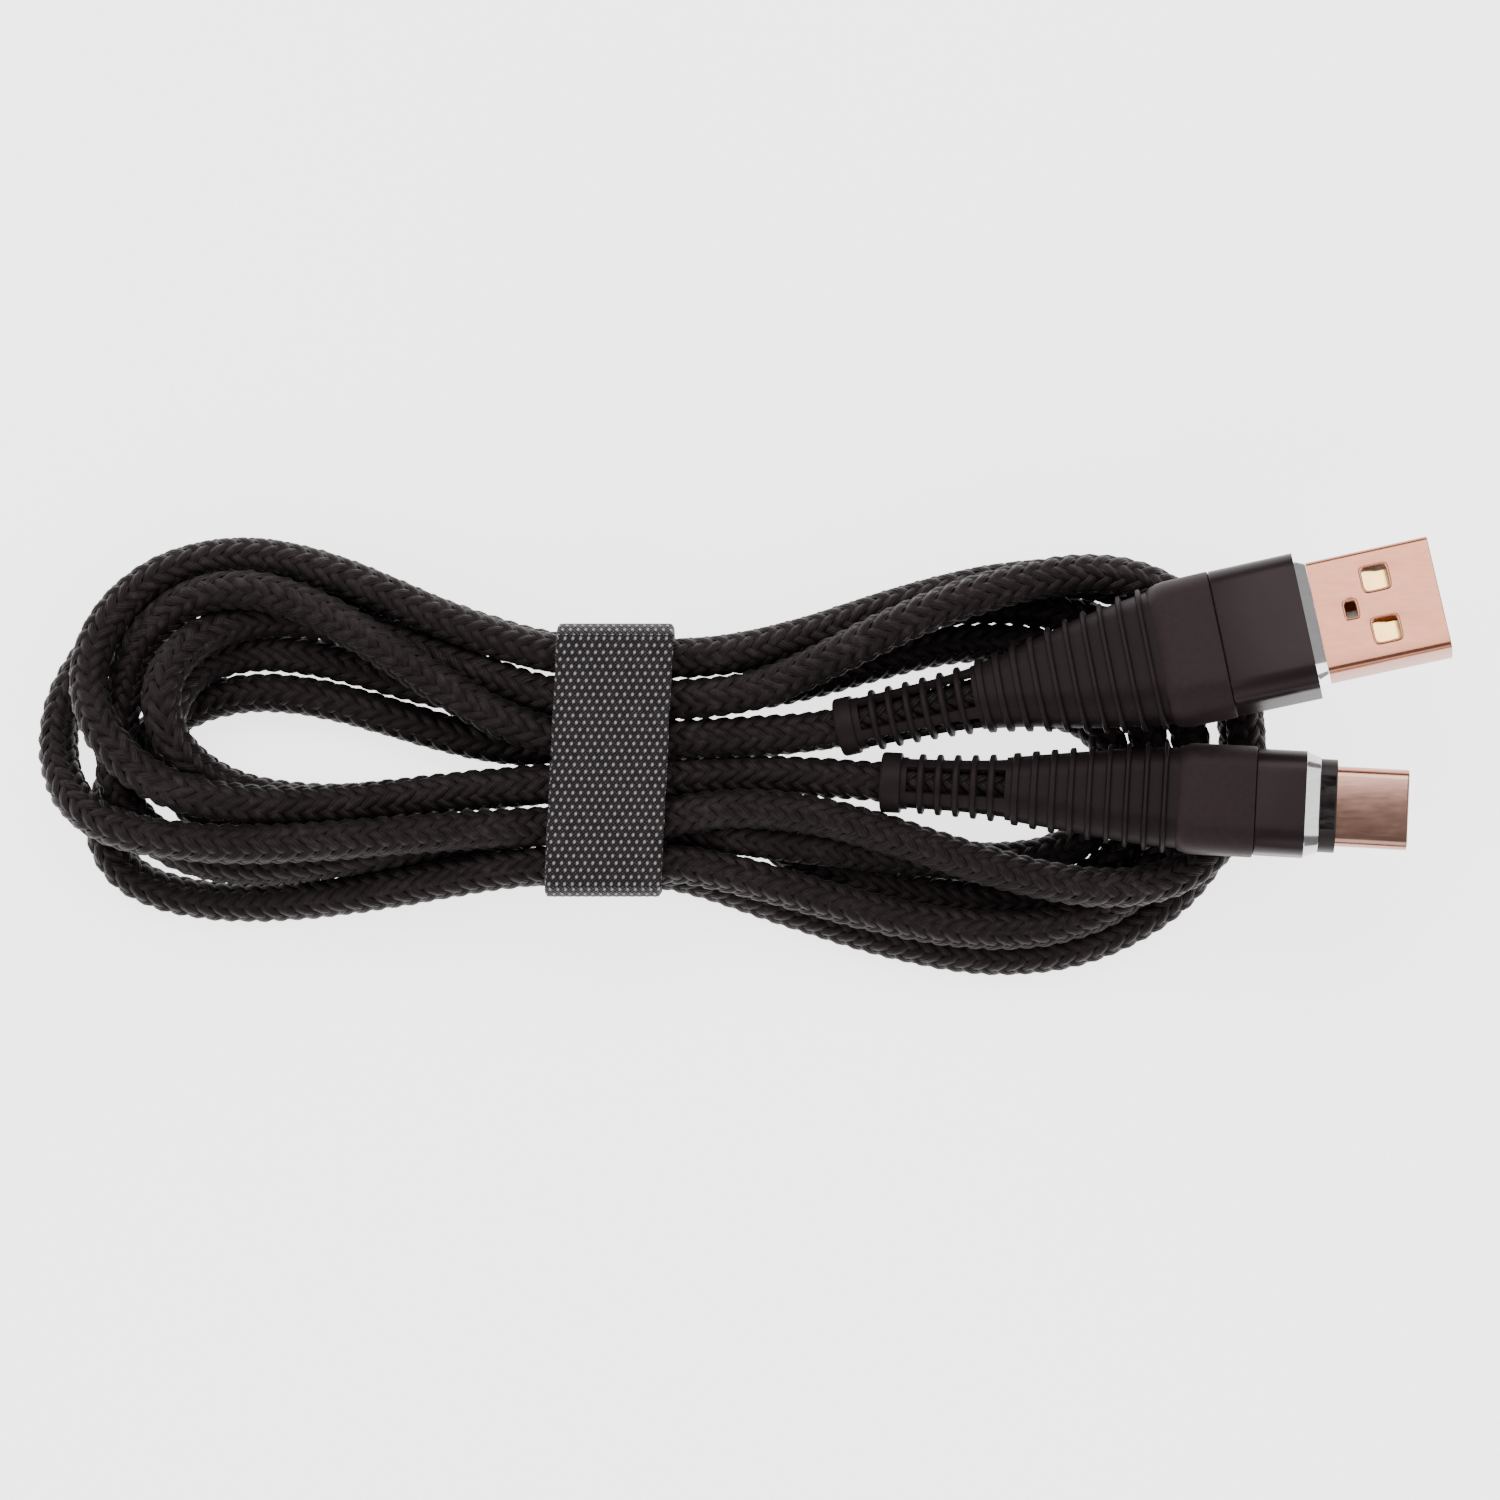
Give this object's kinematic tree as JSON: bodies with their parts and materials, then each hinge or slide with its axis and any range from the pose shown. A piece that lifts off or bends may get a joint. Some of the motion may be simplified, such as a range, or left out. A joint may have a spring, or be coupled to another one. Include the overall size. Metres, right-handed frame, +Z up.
{
  "type": "charging cable",
  "caption": "Braided charging cable folded into a hank under a hook-and-loop tie, with a USB-A plug at one end and a USB-C plug at the other.",
  "frame": {"origin": "Centre of the bounding box in plan, on the surface the hank lies on.", "axes": "+X along the hank towards the plugs, +Z up from the surface it lies on."},
  "size_m": [0.1452, 0.0454, 0.0221],
  "materials": {
    "cord_braid": "tight braided sleeve, soft sheen",
    "boot_rubber": "matte moulded rubber",
    "anodised_black": "satin black anodised aluminium with bright cut chamfers",
    "usb_a_plating": "warm champagne plating",
    "nickel_plating": "warm nickel plating",
    "insulator_white": "moulded polymer",
    "insulator_black": "moulded polymer",
    "gold_contacts": "gold flash on copper alloy",
    "crimp_steel": "stamped steel",
    "wire_insulation": "thin insulated cores",
    "inner_polymer": "moulded polymer",
    "board_green": "solder mask",
    "resistor_black": "chip resistor",
    "tie_weave": "woven hook-and-loop tape with pale thread dots"
  },
  "bodies": {
    "hank": {"cord_hank": "cord_braid", "cord_a_lead": "cord_braid", "cord_c_lead": "cord_braid", "tie_band": "tie_weave", "usb_a_strain_relief": "boot_rubber", "usb_a_cable_end": "cord_braid", "usb_c_strain_relief": "boot_rubber", "usb_c_cable_end": "cord_braid"},
    "usb_a_plug": {"usb_a_collar": "boot_rubber", "usb_a_housing": "anodised_black", "usb_a_shell": "usb_a_plating", "usb_a_insulator": "insulator_white", "usb_a_power_contacts": "gold_contacts", "usb_a_data_contacts": "gold_contacts", "usb_a_crimp": "crimp_steel", "usb_a_wires": "wire_insulation", "usb_a_inner_mould": "inner_polymer"},
    "usb_c_plug": {"usb_c_collar": "boot_rubber", "usb_c_housing": "anodised_black", "usb_c_shell": "nickel_plating", "usb_c_insulator": "insulator_black", "usb_c_contacts_upper": "gold_contacts", "usb_c_contacts_lower": "gold_contacts", "usb_c_latch_springs": "crimp_steel", "usb_c_crimp": "crimp_steel", "usb_c_wires": "wire_insulation", "usb_c_inner_mould": "inner_polymer", "usb_c_rear_shell": "crimp_steel", "usb_c_circuit_board": "board_green", "usb_c_pull_up_resistor": "resistor_black"},
    "tie_tail": {"tie_tail": "tie_weave"}
  },
  "joints": [
    {"name": "usb_a_plug_flex", "type": "hinge", "parent": "hank", "child": "usb_a_plug", "pos_m": [0.02788, 0.00686, 0.0106], "axis": [0.213, -0.977, 0], "range_deg": [0, 20], "stiffness_Nm_per_rad": 0.03, "deforming": ["usb_a_strain_relief", "usb_a_cable_end"]},
    {"name": "usb_c_plug_flex", "type": "hinge", "parent": "hank", "child": "usb_c_plug", "pos_m": [0.03101, -0.00318, 0.01016], "axis": [-0.0523, -0.9986, 0], "range_deg": [0, 20], "stiffness_Nm_per_rad": 0.03, "deforming": ["usb_c_strain_relief", "usb_c_cable_end"]},
    {"name": "tie_tail_peel", "type": "hinge", "parent": "hank", "child": "tie_tail", "pos_m": [-0.01252, 0.01269, 0.01085], "axis": [-1, 0, 0], "range_deg": [0, 100]}
  ]
}
